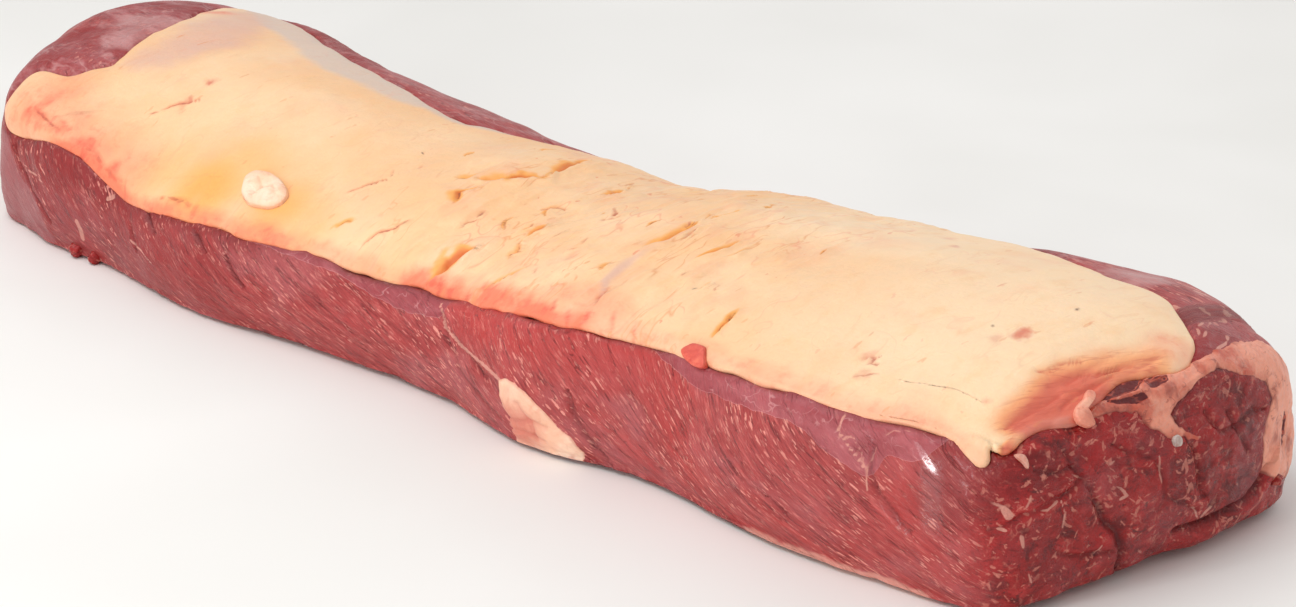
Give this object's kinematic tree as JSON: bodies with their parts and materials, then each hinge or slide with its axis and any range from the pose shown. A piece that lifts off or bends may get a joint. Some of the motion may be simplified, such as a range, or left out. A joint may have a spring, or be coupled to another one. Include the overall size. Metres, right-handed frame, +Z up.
{
  "type": "raw beef striploin, whole sirloin joint",
  "caption": "Whole raw beef striploin lying on its flat underside, with a fat cap over the top and a seam of fat at the cut rump end.",
  "frame": {"origin": "middle of the box's footprint, on the surface that the joint lies on", "axes": "+X along the joint, towards the cut rump end; +Z up, the fat side"},
  "size_m": [0.6046, 0.1817, 0.0762],
  "materials": {
    "lean_meat": "moist raw red beef with fine pale marbling",
    "end_muscle_meat": "moist darker raw beef, cut across the grain",
    "cap_fat": "cream beef fat, soft sheen, with ochre creases",
    "seam_fat": "pink-cream seam fat, moist",
    "side_fat": "pink-cream fat, moist",
    "nodule_fat": "white firm fat"
  },
  "bodies": {
    "root": {"lean": "lean_meat", "end_muscle": "end_muscle_meat", "fat_cap": "cap_fat", "seam_fat": "seam_fat", "side_fat": "side_fat", "nodule": "nodule_fat"}
  },
  "joints": []
}
